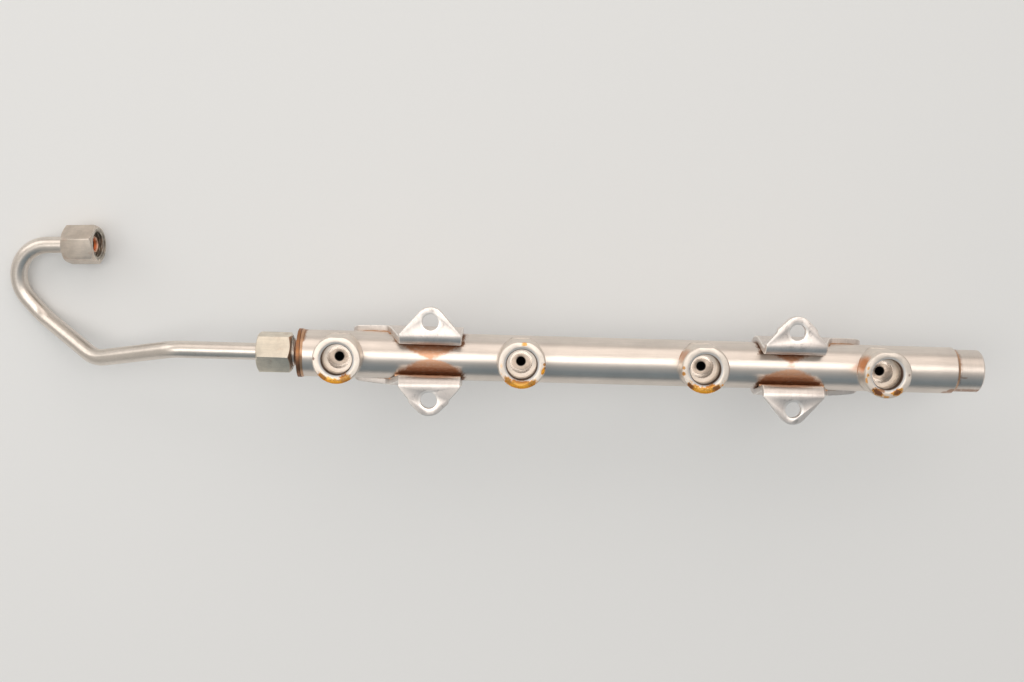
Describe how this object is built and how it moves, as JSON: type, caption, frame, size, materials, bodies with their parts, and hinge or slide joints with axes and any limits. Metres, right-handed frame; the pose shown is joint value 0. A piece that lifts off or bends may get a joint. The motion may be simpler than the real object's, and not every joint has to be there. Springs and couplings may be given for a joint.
{
  "type": "fuel rail",
  "caption": "Brazed steel fuel rail for direct injection: thick tube with injector cups, folded bolt-on brackets, a sensor port and a bent supply pipe with union nuts.",
  "frame": {"origin": "middle of the rectangle of bolt holes, on the mounting face of the bracket ears", "axes": "+X along the rail, from the supply pipe to the sensor port; +Z out of the mounting face, the way the injector cups open"},
  "size_m": [0.469, 0.0811, 0.0637],
  "materials": {
    "tube_steel": "drawn stainless tube, satin, with heat tint beside the brazed joints",
    "cup_steel": "fine turned, matt on the face, with fuel varnish on the rims",
    "sheet_steel": "rolled stainless sheet with bright worn edges",
    "pipe_steel": "drawn stainless pipe, satin",
    "nut_steel": "drawn hexagon, dull, dark in the thread",
    "turned_steel": "turned stainless",
    "head_steel": "turned steel with a film of braze copper",
    "copper_braze": "furnace braze, copper, dulled brown"
  },
  "bodies": {
    "rail": {"rail_tube": "tube_steel", "inlet_fitting": "turned_steel", "inlet_braze": "copper_braze", "sensor_port": "turned_steel", "port_braze": "copper_braze", "bracket_inlet_end": "sheet_steel", "bracket_sensor_end": "sheet_steel", "supply_pipe": "pipe_steel", "sealing_head_rail": "head_steel", "sealing_head_pump": "head_steel", "rail_nut": "nut_steel", "injector_cup_1": "cup_steel", "injector_cup_2": "cup_steel", "injector_cup_3": "cup_steel", "injector_cup_4": "cup_steel"},
    "pump_nut": {"pump_nut": "nut_steel"}
  },
  "joints": [
    {"name": "pump_nut_spin", "type": "hinge", "parent": "rail", "child": "pump_nut", "pos_m": [-0.2517, 0.0461, -0.0484], "axis": [0.9929, 0.0429, 0.1109], "continuous": true}
  ]
}
